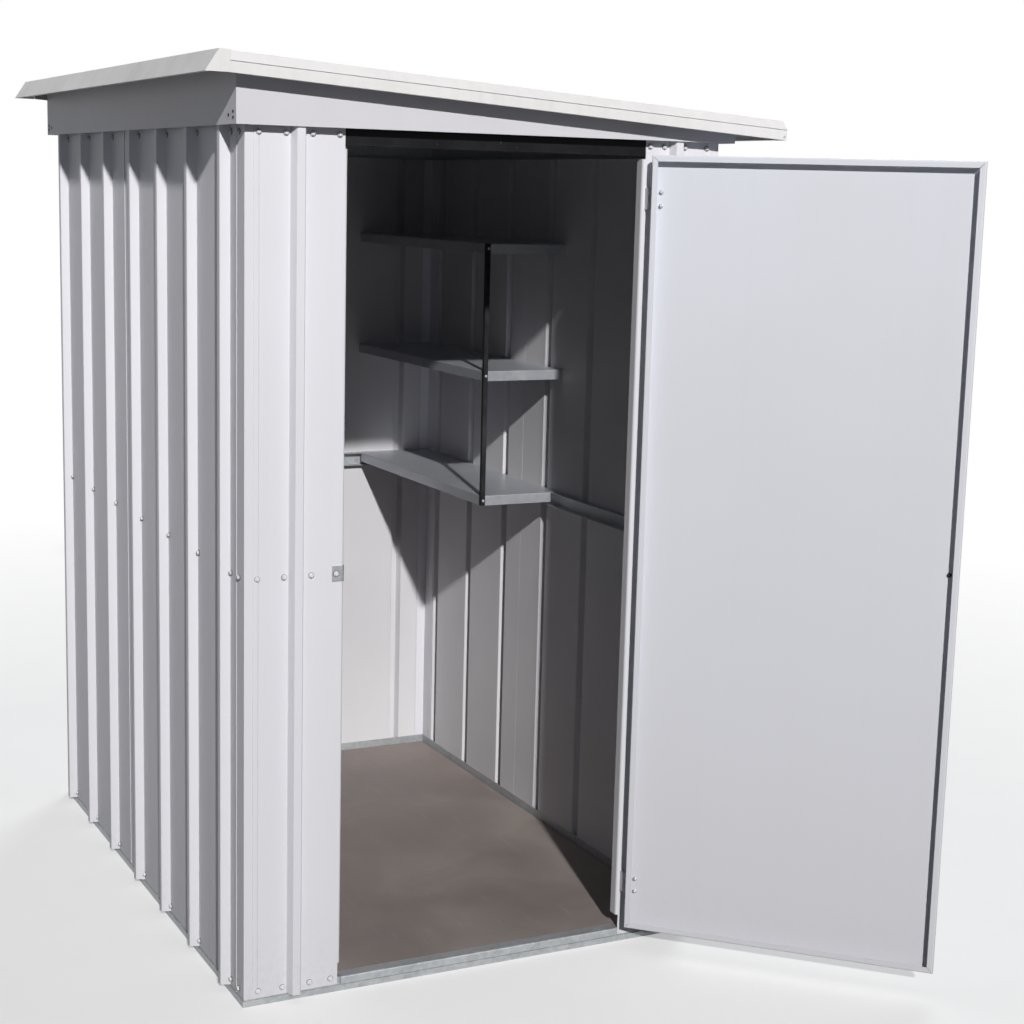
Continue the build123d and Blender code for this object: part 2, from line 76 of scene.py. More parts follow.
camera_data = bpy.data.cameras.new("photo_camera")
camera_data.lens = lens_millimetres
camera_data.sensor_width = film_millimetres
camera = bpy.data.objects.new("photo_camera", camera_data)
camera.matrix_world = Matrix((
    (right.x, up.x, -forward.x, view_place.x),
    (right.y, up.y, -forward.y, view_place.y),
    (right.z, up.z, -forward.z, view_place.z),
    (0, 0, 0, 1),
))
bpy.context.scene.collection.objects.link(camera)
bpy.context.scene.camera = camera
print("camera looks along", [round(v, 3) for v in forward])

# %% [markdown]
# ## Helpers for finishes
# A finish is a small graph of nodes. Each one starts from a Principled shader and the object's own
# coordinates, which are metres on the shed, so that a pattern has its real size and stays on its
# piece when the door swings. These helpers only save typing: one adds a noise pattern, one turns a
# pattern into a range of numbers, one mixes two colours by a pattern, and one makes small bumps.
# The last one tells what is seen from light that is only passed on, for the surroundings and the
# floor.

# %% Helpers that start a finish and add patterns to it
def start_finish(name):
    """New material, with its node tree, its shader and the coordinates in metres."""
    material = bpy.data.materials.new(name)
    material.use_nodes = True
    tree = material.node_tree
    shader = tree.nodes["Principled BSDF"]
    coordinates = tree.nodes.new("ShaderNodeTexCoord").outputs["Object"]
    return material, tree, shader, coordinates


def stretched(tree, coordinates, x, y, z):
    """The coordinates multiplied, so that a pattern is squeezed or drawn out along an axis."""
    mapping = tree.nodes.new("ShaderNodeMapping")
    mapping.inputs["Scale"].default_value = (x, y, z)
    tree.links.new(coordinates, mapping.inputs["Vector"])
    return mapping.outputs["Vector"]


def noise(tree, coordinates, scale, detail=3.0, roughness=0.5, distortion=0.0):
    """Cloudy pattern from 0 to 1."""
    cloud = tree.nodes.new("ShaderNodeTexNoise")
    cloud.inputs["Scale"].default_value = scale
    cloud.inputs["Detail"].default_value = detail
    cloud.inputs["Roughness"].default_value = roughness
    cloud.inputs["Distortion"].default_value = distortion
    tree.links.new(coordinates, cloud.inputs["Vector"])
    return cloud.outputs[0]


def ranged(tree, value, from_low, from_high, to_low, to_high):
    """A pattern's values carried from one range to another, and held inside it."""
    carry = tree.nodes.new("ShaderNodeMapRange")
    for socket, number in zip(carry.inputs[1:5], (from_low, from_high, to_low, to_high)):
        socket.default_value = number
    tree.links.new(value, carry.inputs[0])
    return carry.outputs[0]


def combined(tree, operation, first, second):
    """Two patterns added, multiplied or compared. The second can be a plain number."""
    reckoned = tree.nodes.new("ShaderNodeMath")
    reckoned.operation = operation
    tree.links.new(first, reckoned.inputs[0])
    if isinstance(second, (int, float)):
        reckoned.inputs[1].default_value = second
    else:
        tree.links.new(second, reckoned.inputs[1])
    return reckoned.outputs[0]


def tinted(tree, pattern, colour, other):
    """A colour where the pattern is 0 that becomes the other where it is 1."""
    mix = tree.nodes.new("ShaderNodeMix")
    mix.data_type = "RGBA"
    tree.links.new(pattern, mix.inputs[0])
    for socket, value in ((mix.inputs[6], colour), (mix.inputs[7], other)):
        if isinstance(value, tuple):
            socket.default_value = (*value, 1)
        else:
            tree.links.new(value, socket)
    return mix.outputs[2]


def raised(tree, pattern, distance, strength, under=None):
    """Bumps of a height in metres, laid over other bumps where there are some."""
    bump = tree.nodes.new("ShaderNodeBump")
    bump.inputs["Distance"].default_value = distance
    bump.inputs["Strength"].default_value = strength
    tree.links.new(pattern, bump.inputs["Height"])
    if under is not None:
        tree.links.new(under, bump.inputs["Normal"])
    return bump.outputs["Normal"]


def height_of(tree, coordinates):
    """Height above the ground at each point."""
    split = tree.nodes.new("ShaderNodeSeparateXYZ")
    tree.links.new(coordinates, split.inputs[0])
    return split.outputs["Z"]


def softened_folds(tree, radius):
    """Normals that round a sharp fold off over a small radius."""
    bevel = tree.nodes.new("ShaderNodeBevel")
    bevel.samples = 4
    bevel.inputs["Radius"].default_value = radius
    return bevel.outputs["Normal"]


def seen_share(tree):
    """Pattern that is 1 for what is seen or mirrored, and 0 for light that is passed on."""
    rays = tree.nodes.new("ShaderNodeLightPath").outputs
    seen = combined(tree, "MAXIMUM", rays["Is Camera Ray"], rays["Is Glossy Ray"])
    return combined(tree, "MAXIMUM", seen, rays["Is Transmission Ray"])


print("finish helpers ready")

# %% [markdown]
# ## Light
# The front of the shed is in full light. The left wall is only grazed by it, so that the faces of
# its ribs that look forwards shine and the flats between them stay in half shade. One sun lamp
# from the front and a little to the left gives that, low enough to reach in through the doorway
# under the lintel. A weaker, broad lamp from behind and to the right shows the back and the right
# wall. The world fills the shade with a weak, bluish light, and what is seen of it is plain white.

# %% Set up the lamps and the world
def sun_lamp(name, strength, spread, colour, towards):
    """Sun lamp that stands in a direction. Its spread in degrees softens its shadows."""
    data = bpy.data.lights.new(name, "SUN")
    data.energy = strength
    data.angle = radians(spread)
    data.color = colour
    lamp = bpy.data.objects.new(name, data)
    lamp.rotation_euler = Vector(towards).to_track_quat("Z", "Y").to_euler()
    bpy.context.scene.collection.objects.link(lamp)
    print(name, "strength", strength)


sun_lamp("key_lamp", 3.35, 1.5, (1.0, 0.985, 0.96), towards=(-0.22, -0.86, 0.47))
sun_lamp("back_lamp", 1.5, 25, (0.94, 0.97, 1.0), towards=(0.60, 0.68, 0.42))

world = bpy.data.worlds.new("studio_world")
bpy.context.scene.world = world
world.use_nodes = True
world_tree = world.node_tree
world_tree.nodes.clear()
fill_light = world_tree.nodes.new("ShaderNodeBackground")
fill_light.inputs["Color"].default_value = (0.70, 0.79, 1.0, 1)
fill_light.inputs["Strength"].default_value = 0.10
white_surroundings = world_tree.nodes.new("ShaderNodeBackground")
white_surroundings.inputs["Color"].default_value = (1, 1, 1, 1)
white_surroundings.inputs["Strength"].default_value = 1.0
choose = world_tree.nodes.new("ShaderNodeMixShader")
world_out = world_tree.nodes.new("ShaderNodeOutputWorld")
world_tree.links.new(seen_share(world_tree), choose.inputs[0])
world_tree.links.new(fill_light.outputs[0], choose.inputs[1])
world_tree.links.new(white_surroundings.outputs[0], choose.inputs[2])
world_tree.links.new(choose.outputs[0], world_out.inputs["Surface"])

bpy.context.scene.view_settings.view_transform = "Standard"
print("surroundings made")

# %% [markdown]
# ## Coated sheet
# The walls, the fascias and the door are thin steel sheet with a satin silver-grey coating. It is
# never quite even: the flats are slightly wavy, rain leaves faint streaks down them, the coating
# is darker towards the ground, and mud splashes their feet. Each of these is one pattern that
# changes the colour, the roughness or the bumps a little. The inner side of a wall sheet is
# painted darker, as painted shade for the inside of the shed. A sheet is one thin solid, so the
# finish tells its two sides apart by the way that they face. The coating is paint, so it isn't
# metallic, and its low specular level keeps the sides that are seen at a slant from shining.

# %% Make the coated sheet finishes
def facing_share(tree, direction):
    """Pattern that is 1 where the surface faces along a direction, and 0 where it faces away."""
    normal = tree.nodes.new("ShaderNodeTexCoord").outputs["Normal"]
    along = tree.nodes.new("ShaderNodeVectorMath")
    along.operation = "DOT_PRODUCT"
    along.inputs[1].default_value = direction
    tree.links.new(normal, along.inputs[0])
    return ranged(tree, along.outputs["Value"], -0.02, 0.02, 0.0, 1.0)


# Height up to which the coating turns darker towards the ground.
darkening_reach = 1.85
streak_grey = (0.42, 0.43, 0.45)
splash_brown = (0.36, 0.34, 0.29)
# Painted shade: darker colours for the inner side of the wall sheets, for the shade inside the
# shed.
inner_shade_pale, inner_shade_deep = (0.62, 0.615, 0.64), (0.57, 0.565, 0.59)


def coated_sheet(name, pale, deep, mixed_in_colour, streak_amount, splash_amount, waviness, inward=None):
    """Satin coating over thin steel sheet, darker low down, with faint streaks and waviness."""
    material, tree, shader, coordinates = start_finish(name)
    height = height_of(tree, coordinates)
    patches = ranged(tree, noise(tree, coordinates, 2.2, 3.0), 0.35, 0.65, 0.0, 1.0)
    colour = tinted(tree, patches, pale, deep)
    # The colour turns darker towards the ground, most of all at its foot.
    colour = tinted(tree, ranged(tree, height, 0.0, darkening_reach, 0.9, 0.0), colour, mixed_in_colour)

    streaks = noise(tree, stretched(tree, coordinates, 26, 26, 0.7), 1.0, 4.0, 0.6)
    streaks = ranged(tree, streaks, 0.50, 0.80, 0.0, streak_amount)
    colour = tinted(tree, streaks, colour, streak_grey)

    low = ranged(tree, height, 0.01, 0.20, 1.0, 0.0)
    specks = ranged(tree, noise(tree, coordinates, 70, 6.0, 0.7), 0.46, 0.74, 0.0, splash_amount)
    colour = tinted(tree, combined(tree, "MULTIPLY", low, specks), colour, splash_brown)
    if inward is not None:
        # Painted shade: the inner side takes the darker colours, for the shade inside the shed.
        painted_inner_shade = tinted(tree, patches, inner_shade_pale, inner_shade_deep)
        colour = tinted(tree, facing_share(tree, inward), colour, painted_inner_shade)
    tree.links.new(colour, shader.inputs["Base Color"])

    grain = noise(tree, coordinates, 620, 2.0)
    sheen = combined(tree, "ADD", ranged(tree, grain, 0.3, 0.7, 0.40, 0.46), streaks)
    tree.links.new(sheen, shader.inputs["Roughness"])
    shader.inputs["Specular IOR Level"].default_value = 0.10

    folds = softened_folds(tree, 0.0009)
    swell = noise(tree, stretched(tree, coordinates, 1, 1, 0.35), 4.5, 1.0)
    waves = raised(tree, swell, 0.004, waviness, folds)
    peel = raised(tree, grain, 0.00008, 0.5, waves)
    tree.links.new(peel, shader.inputs["Normal"])
    return material


wall_pale, wall_deep, wall_low_colour = (0.79, 0.785, 0.835), (0.755, 0.755, 0.80), (0.61, 0.61, 0.65)
wall_look = (wall_pale, wall_deep, wall_low_colour, 0.07, 0.22, 0.16)
wall_coating = coated_sheet("wall_coating", *wall_look)
wall_sides = {
    "left": coated_sheet("left_wall_coating", *wall_look, inward=(1, 0, 0)),
    "right": coated_sheet("right_wall_coating", *wall_look, inward=(-1, 0, 0)),
    "back": coated_sheet("back_wall_coating", *wall_look, inward=(0, -1, 0)),
    "front": coated_sheet("front_panel_coating", *wall_look, inward=(0, 1, 0)),
}
door_coating = coated_sheet(
    "door_coating", (0.78, 0.80, 0.87), (0.76, 0.775, 0.835), (0.56, 0.56, 0.595), 0.03, 0.08, 0.10
)
fascia_coating = coated_sheet(
    "fascia_coating", (0.68, 0.675, 0.72), (0.65, 0.64, 0.68), (0.60, 0.59, 0.62), 0.04, 0.0, 0.08
)
print("coated sheet finishes made")

# %% [markdown]
# ## Roof trim and roof sheets
# The trim round the roof is off-white, smooth and a little weathered: thin grey grime lies along
# it. The roof sheets have the same grime, only more of it, and their underside is painted darker,
# as painted shade under the roof.

# %% Make the roof finishes
# Painted shade: darker colours for the underside of the roof sheets, for the shade under the roof.
roof_underside_shade_pale, roof_underside_shade_deep = (0.44, 0.44, 0.45), (0.38, 0.38, 0.39)


def weathered_coating(name, clean, grime, amount, inward=None):
    """Off-white coating with grey grime in patches and fine runs."""
    material, tree, shader, coordinates = start_finish(name)
    patches = noise(tree, coordinates, 3.0, 5.0, 0.6, 0.3)
    runs = noise(tree, stretched(tree, coordinates, 40, 40, 6), 1.0, 4.0, 0.6)
    both = combined(tree, "MULTIPLY", ranged(tree, patches, 0.35, 0.70, 0.3, 1.0), runs)
    dirt = ranged(tree, both, 0.14, 0.62, 0.0, amount)
    colour = tinted(tree, dirt, clean, grime)
    if inward is not None:
        # Painted shade: the side that faces inward takes the darker colours.
        painted_inner_shade = tinted(tree, patches, roof_underside_shade_pale, roof_underside_shade_deep)
        colour = tinted(tree, facing_share(tree, inward), colour, painted_inner_shade)
    tree.links.new(colour, shader.inputs["Base Color"])
    tree.links.new(ranged(tree, both, 0.1, 0.6, 0.42, 0.60), shader.inputs["Roughness"])
    shader.inputs["Specular IOR Level"].default_value = 0.10
    folds = softened_folds(tree, 0.0012)
    pits = raised(tree, noise(tree, coordinates, 420, 3.0), 0.0001, 0.5, folds)
    tree.links.new(pits, shader.inputs["Normal"])
    return material


trim_coating = weathered_coating("trim_coating", (0.82, 0.81, 0.815), (0.34, 0.34, 0.31), 0.22)
roof_coating = weathered_coating(
    "roof_coating", (0.68, 0.68, 0.71), (0.30, 0.30, 0.28), 0.60, inward=(0, 0, -1)
)
print("roof finishes made")

# %% [markdown]
# ## Galvanised steel
# The rails, the sill, the striker and the shelves are bare galvanised steel. Zinc sets in flat
# crystals up to a centimetre wide, called spangle, and each reflects a little differently.
# A Voronoi pattern with soft borders gives each cell its own shade, and a slow noise adds the dull
# bloom of old zinc.

# %% Make the galvanised finish
zinc_bloom = (0.50, 0.51, 0.52)


def galvanised(name, pale, deep, cell_scale, rough_low, rough_high):
    """Zinc spangle, with its crystals in slightly different shades of grey."""
    material, tree, shader, coordinates = start_finish(name)
    crystals = tree.nodes.new("ShaderNodeTexVoronoi")
    crystals.feature = "SMOOTH_F1"
    crystals.inputs["Scale"].default_value = cell_scale
    crystals.inputs["Smoothness"].default_value = 0.5
    tree.links.new(coordinates, crystals.inputs["Vector"])
    shade = tree.nodes.new("ShaderNodeRGBToBW")
    tree.links.new(crystals.outputs["Color"], shade.inputs[0])
    colour = tinted(tree, shade.outputs[0], deep, pale)
    bloom = ranged(tree, noise(tree, coordinates, 9.0, 5.0, 0.6), 0.45, 0.75, 0.0, 0.55)
    colour = tinted(tree, bloom, colour, zinc_bloom)
    tree.links.new(colour, shader.inputs["Base Color"])
    rough = ranged(tree, shade.outputs[0], 0.2, 0.8, rough_low, rough_high)
    rough = combined(tree, "ADD", rough, combined(tree, "MULTIPLY", bloom, 0.3))
    tree.links.new(rough, shader.inputs["Roughness"])
    shader.inputs["Metallic"].default_value = 0.45
    tree.links.new(softened_folds(tree, 0.0008), shader.inputs["Normal"])
    return material


striker_zinc = galvanised(
    "striker_zinc", (0.36, 0.38, 0.41), (0.24, 0.26, 0.29), 150, 0.36, 0.50
)
rail_zinc = galvanised("rail_zinc", (0.46, 0.48, 0.50), (0.34, 0.36, 0.38), 120, 0.36, 0.52)
shelf_zinc = galvanised("shelf_zinc", (0.51, 0.53, 0.575), (0.455, 0.475, 0.52), 110, 0.32, 0.42)
print("galvanised finishes made")

# %% [markdown]
# ## Dark paint
# The post that joins the shelves is painted nearly black, and some bolts and rivets are too. The
# lintel over the doorway is painted darker still, as painted shade for the shadow of the roof's
# edge over it. Dust makes the paint greyer in patches, and small scuffs show through as pale
# flecks.

# %% Make the dark paint
scuff_grey = (0.20, 0.20, 0.21)
near_black, dusty_black = (0.022, 0.022, 0.026), (0.055, 0.055, 0.060)


def dark_paint(name, clean, mixed_in_colour):
    """Nearly black paint with dust and small scuffs."""
    material, tree, shader, coordinates = start_finish(name)
    dust = ranged(tree, noise(tree, coordinates, 14, 6.0, 0.65), 0.40, 0.72, 0.0, 0.8)
    colour = tinted(tree, dust, clean, mixed_in_colour)
    scuffs = noise(tree, stretched(tree, coordinates, 160, 160, 40), 1.0, 4.0, 0.7)
    scuffs = ranged(tree, scuffs, 0.68, 0.76, 0.0, 0.5)
    colour = tinted(tree, scuffs, colour, scuff_grey)
    tree.links.new(colour, shader.inputs["Base Color"])
    tree.links.new(ranged(tree, dust, 0.0, 0.8, 0.42, 0.70), shader.inputs["Roughness"])
    shader.inputs["Specular IOR Level"].default_value = 0.06
    tree.links.new(softened_folds(tree, 0.0008), shader.inputs["Normal"])
    return material


post_paint = dark_paint("post_paint", near_black, dusty_black)
# Painted shade: the lintel's near-black stands for the shadow of the roof's edge over it.
lintel_painted_shade = dark_paint("lintel_painted_shade", (0.011, 0.011, 0.013), (0.022, 0.022, 0.025))
print("dark paints made")

# %% [markdown]
# ## Floor board
# The floor is a dark film-faced board that boots have worn dull. Grey dust lies on it in drifts
# with a few dark crumbs, and fine scratches run mostly from the doorway to the back.

# %% Make the floor board finish
board_brown, board_dust = (0.215, 0.180, 0.168), (0.300, 0.258, 0.240)
scratch_grey, crumb_brown = (0.36, 0.335, 0.315), (0.11, 0.095, 0.085)


def worn_board(name):
    """Dull brown-grey board with dust drifts and scratches."""
    material, tree, shader, coordinates = start_finish(name)
    drifts = ranged(tree, noise(tree, coordinates, 3.4, 7.0, 0.62, 0.6), 0.36, 0.68, 0.0, 1.0)
    colour = tinted(tree, drifts, board_brown, board_dust)
    scratches = noise(tree, stretched(tree, coordinates, 90, 7, 90), 1.0, 5.0, 0.7)
    scratches = ranged(tree, scratches, 0.60, 0.74, 0.0, 0.35)
    colour = tinted(tree, scratches, colour, scratch_grey)
    crumbs = ranged(tree, noise(tree, coordinates, 190, 3.0, 0.8), 0.66, 0.74, 0.0, 0.7)
    colour = tinted(tree, crumbs, colour, crumb_brown)
    tree.links.new(colour, shader.inputs["Base Color"])
    tree.links.new(ranged(tree, drifts, 0.0, 1.0, 0.55, 0.85), shader.inputs["Roughness"])
    tree.links.new(raised(tree, crumbs, 0.0004, 0.5), shader.inputs["Normal"])
    return material


floor_board = worn_board("floor_board")
print("floor board finish made")

# %% [markdown]
# ## Give each CAD piece its finish
# A CAD piece keeps its mesh, and only its material slot changes. The finish is chosen by what the
# piece is on the real shed.

# %% Dress the CAD pieces
sheets_by_side = {
    "left": ["left_wall_front_sheet", "left_wall_back_sheet"],
    "right": ["right_wall_front_sheet", "right_wall_back_sheet"],
    "back": ["back_wall_sheet"],
    "front": ["front_panel_left", "front_panel_right"],
}
corner_pieces = [
    "corner_angle_front_left", "corner_angle_front_right",
    "corner_angle_back_left", "corner_angle_back_right",
]
fascia_pieces = ["left_fascia", "right_fascia", "front_fascia", "back_fascia"]
trim_pieces = ["roof_trim_front", "roof_trim_back", "roof_trim_low", "roof_trim_high"]
shelf_pieces = ["shelf_lower", "shelf_middle", "shelf_top"]

finishes = {name: wall_coating for name in corner_pieces}
for side, sheets in sheets_by_side.items():
    finishes.update({name: wall_sides[side] for name in sheets})
finishes.update({name: fascia_coating for name in fascia_pieces})
finishes.update({name: trim_coating for name in trim_pieces})
finishes.update({name: shelf_zinc for name in shelf_pieces})
finishes.update({"roof_sheet_front": roof_coating, "roof_sheet_back": roof_coating})
finishes.update({"door": door_coating, "floor_panel": floor_board})
finishes.update({"shelf_post": post_paint, "door_header": lintel_painted_shade})
finishes["striker_bracket"] = striker_zinc
for height in ("lower", "upper"):
    finishes[f"{height}_hinge_frame_leaf"] = wall_coating
    finishes[f"{height}_hinge_door_leaf"] = door_coating

for name, piece in nodes.items():
    piece.data.materials.clear()
    piece.data.materials.append(finishes.get(name, rail_zinc))
print("pieces in bare zinc:", sum(name not in finishes for name in nodes))

# %% [markdown]
# ## A finer nose on the roof trims
# The front, back and right trims have a nose, a fold that stands out over their upright face. On
# the real shed it stands out so little that its shadow is a faint line, and the CAD pieces have it
# coarser. A CAD piece is never changed, so each of the three is copied, and the copy takes its
# place. The copy's loose triangles are merged. Then the points of both sides of its upright face,
# which lie 4 mm and one sheet's thickness more behind the edge of the nose, are moved out by 2 mm.

# %% Bring the upright faces of three trims forward
fine_nose = 0.0020
coarse_nose = 0.0040
sheet_thickness = 0.0012
slack = 0.0001


def finer_trim(name, outward):
    """Copy of a trim whose upright face lies nearer to the edge of its nose."""
    trim = bpy.data.objects.new(name + "_folded", nodes[name].data.copy())
    bpy.context.scene.collection.objects.link(trim)
    bpy.ops.object.select_all(action="DESELECT")
    trim.select_set(True)
    bpy.context.view_layer.objects.active = trim
    bpy.ops.mesh.customdata_custom_splitnormals_clear()
    bpy.ops.object.shade_flat()

    bpy.ops.object.mode_set(mode="EDIT")
    bpy.ops.mesh.select_mode(type="VERT")
    bpy.ops.mesh.select_all(action="SELECT")
    bpy.ops.mesh.remove_doubles(threshold=0.00001)
    bpy.ops.mesh.select_all(action="DESELECT")
    bpy.ops.object.mode_set(mode="OBJECT")

    edge = max(point.co.dot(outward) for point in trim.data.vertices)
    moved = 0
    for point in trim.data.vertices:
        behind_edge = edge - point.co.dot(outward)
        point.select = (
            coarse_nose - slack < behind_edge < coarse_nose + sheet_thickness + slack
        )
        moved += point.select
    bpy.ops.object.mode_set(mode="EDIT")
    bpy.ops.transform.translate(value=outward * (coarse_nose - fine_nose))
    bpy.ops.object.mode_set(mode="OBJECT")

    trim.data.materials.clear()
    trim.data.materials.append(trim_coating)
    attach(trim, "shed")
    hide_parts(name)
    print(name, "has", len(trim.data.vertices), "points, moved", moved)


finer_trim("roof_trim_front", outward=Vector((0, -1, 0)))
finer_trim("roof_trim_back", outward=Vector((0, 1, 0)))
finer_trim("roof_trim_low", outward=Vector((1, 0, 0)))

# %% [markdown]
# ## Screws
# Each sheet is held to its rails by hexagon-headed screws with a broad washer pressed into the
# head and a dark rubber seal under it. One screw is modelled as by hand: a short six-sided
# cylinder, whose top is inset and raised a little so that its corners are chamfered, on a round
# washer with a thin seal below. It is then copied to each place, with its head along the way that
# the sheet faces.

# %% Make the finishes of the fixings
head_coating = weathered_coating("head_coating", (0.72, 0.72, 0.73), (0.35, 0.34, 0.33), 0.35)
fixing_zinc = galvanised("fixing_zinc", (0.60, 0.62, 0.64), (0.40, 0.42, 0.44), 420, 0.28, 0.42)
black_steel = dark_paint("black_steel", near_black, dusty_black)


def rubber_finish():
    """Dark rubber with a dusty bloom."""
    material, tree, shader, coordinates = start_finish("seal_rubber")
    dust = ranged(tree, noise(tree, coordinates, 300, 4.0), 0.4, 0.7, 0.0, 0.6)
    colour = tinted(tree, dust, (0.018, 0.018, 0.02), (0.06, 0.06, 0.065))
    tree.links.new(colour, shader.inputs["Base Color"])
    tree.links.new(ranged(tree, dust, 0.0, 0.6, 0.6, 0.85), shader.inputs["Roughness"])
    return material


seal_rubber = rubber_finish()
print("fixing finishes made")

# %% [markdown]
# The helpers below add one turned part and shape it. Everything is first deselected, because an
# operator acts on all that is selected. The faces to shape are then picked in code, by where they
# lie. Copies of a fixing are turned a little more from one to the next, as a hand would leave
# them.

# %% Helpers that shape and copy fixings
def pick_faces(part, test):
    """Go into edit mode with only the faces selected that pass a test."""
    bpy.ops.object.select_all(action="DESELECT")
    part.select_set(True)
    bpy.context.view_layer.objects.active = part
    for group in (part.data.vertices, part.data.edges, part.data.polygons):
        for element in group:
            element.select = False
    for face in part.data.polygons:
        face.select = test(face)
    bpy.ops.object.mode_set(mode="EDIT")
    bpy.ops.mesh.select_mode(type="FACE")


def disc(name, radius, low, high, sides, material):
    """Short round or many-sided bar that stands at the origin, from one height to another."""
    bpy.ops.object.select_all(action="DESELECT")
    bpy.ops.mesh.primitive_cylinder_add(
        vertices=sides, radius=radius, depth=high - low, location=(0, 0, (low + high) / 2)
    )
    part = bpy.context.active_object
    part.name = name
    bpy.ops.object.transform_apply(location=True, rotation=True, scale=True)
    part.data.materials.append(material)
    return part


def chamfered_top(part, inset, rise):
    """Inset the top face and lift it, which leaves a chamfer round it."""
    rounding = 1e-6
    top = max(face.center.z for face in part.data.polygons)
    pick_faces(part, lambda face: face.center.z > top - rounding)
    bpy.ops.mesh.inset(thickness=inset, depth=rise)
    bpy.ops.object.mode_set(mode="OBJECT")


def joined(name, pieces):
    """Join loose parts into one piece with a name of its own."""
    bpy.ops.object.select_all(action="DESELECT")
    for piece in pieces:
        piece.select_set(True)
    bpy.context.view_layer.objects.active = pieces[0]
    bpy.ops.object.join()
    result = bpy.context.active_object
    result.name = name
    result.data.name = name
    return result


turn_per_copy = 0.7


def facing(direction, place, spin):
    """Matrix that carries an upright fixing from the origin to a place, along a direction."""
    turn = Vector(direction).to_track_quat("Z", "Y").to_matrix().to_4x4()
    return Matrix.Translation(Vector(place)) @ turn @ Matrix.Rotation(spin, 4, "Z")


def copies_at(pattern, name, places, body):
    """Copy a fixing to places given as (direction, place), and join the copies."""
    made = []
    for number, (direction, place) in enumerate(places):
        copy = pattern.copy()
        copy.data = pattern.data.copy()
        bpy.context.scene.collection.objects.link(copy)
        copy.data.transform(facing(direction, place, turn_per_copy * number))
        made.append(copy)
    piece = joined(name, made)
    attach(piece, body)
    print(name, len(places), "of them,", len(piece.data.polygons), "faces")


# %% [markdown]
# The screw's head is 7.5 mm across its flats, which is close to the usual 8 mm for sheet this
# thin. Its washer and its head are both chamfered by an inset of the top face.

# %% Model one screw
def model_screw():
    """Hexagon head on a round washer, with a rubber seal below."""
    seal_top, washer_top, head_top = 0.0012, 0.0019, 0.0049
    seal = disc("screw_seal", 0.0062, 0.0, seal_top, 16, seal_rubber)
    washer = disc("screw_washer", 0.0056, seal_top, washer_top, 16, head_coating)
    chamfered_top(washer, 0.0008, 0.0004)
    head = disc("screw_head", 0.0043, washer_top, head_top, 6, head_coating)
    chamfered_top(head, 0.0006, 0.0005)
    return joined("screw_pattern", [seal, washer, head])


screw = model_screw()
print("one screw has", len(screw.data.polygons), "faces")

# %% [markdown]
# A blind rivet has a low dome with a dimple in the middle, where its pin broke off. The dome is a
# short disc whose top is inset and raised twice, less the second time, and then inset once more
# and pushed down.

# %% Model one rivet
def model_rivet(material):
    """Low dome with a dimple in its middle."""
    rivet = disc("rivet_pattern", 0.0032, 0.0, 0.0005, 16, material)
    chamfered_top(rivet, 0.0008, 0.0006)
    chamfered_top(rivet, 0.0008, 0.0003)
    chamfered_top(rivet, 0.0005, -0.0006)
    return rivet


rivet = model_rivet(fixing_zinc)
black_rivet = model_rivet(black_steel)
print("one rivet has", len(rivet.data.polygons), "faces")

# %% [markdown]
# A bolt shows a round button head on one side of the sheet, with a hexagonal socket in it. On the
# other side it shows a washer and a nut, with the end of its thread standing out a little. The
# socket is a six-sided piece of its own on the top of the dome, because a round top can't be inset
# to six sides. It takes the dark rubber finish, as painted shade for the hollow of the socket.

# %% Model one bolt head and one nut
def model_bolt_head(material):
    """Round button head with a six-sided socket."""
    head = disc("bolt_pattern", 0.0036, 0.0, 0.0010, 18, material)
    chamfered_top(head, 0.0006, 0.0008)
    chamfered_top(head, 0.0008, 0.0005)
    # Painted shade: the socket takes the dark rubber finish for the shade in its hollow.
    socket = disc("bolt_socket", 0.0013, 0.0022, 0.0024, 6, seal_rubber)
    chamfered_top(socket, 0.0003, -0.0008)
    return joined("bolt_pattern", [head, socket])


def model_nut(material):
    """Nut on its washer, with the end of the bolt standing out."""
    washer = disc("nut_washer", 0.0049, 0.0, 0.0009, 20, material)
    chamfered_top(washer, 0.0003, 0.0002)
    nut = disc("nut_pattern", 0.0042, 0.0011, 0.0042, 6, material)
    chamfered_top(nut, 0.0007, 0.0005)
    thread_end = disc("bolt_end", 0.0021, 0.0045, 0.0062, 14, material)
    chamfered_top(thread_end, 0.0004, 0.0004)
    return joined("nut_pattern", [washer, nut, thread_end])


black_bolt = model_bolt_head(black_steel)
zinc_bolt = model_bolt_head(fixing_zinc)
nut = model_nut(fixing_zinc)
black_nut = model_nut(black_steel)
print("one bolt head has", len(zinc_bolt.data.polygons), "faces")
print("one nut has", len(nut.data.polygons), "faces")

# %% [markdown]
# ## Where the screws are
# The front panels have a row at the top rail, one at the middle rail and one at the base rail. The
# side walls are screwed through the flats, close to the foot of each rib, and the back wall is
# fixed in the same way. All places are measured from the outer faces of the corner angles, where
# the flats of the sheets lie. The steps are distances from the corner, or from the front face on
# the sides.

# %% Place the wall screws
left_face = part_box("corner_angle_front_left")[0].x
right_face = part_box("corner_angle_front_right")[1].x
front_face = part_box("corner_angle_front_left")[0].y
back_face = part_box("corner_angle_back_left")[1].y
foot_row, middle_row, top_row = 0.030, 0.905, 1.783
to_front, to_back, to_left, to_right = (0, -1, 0), (0, 1, 0), (-1, 0, 0), (1, 0, 0)

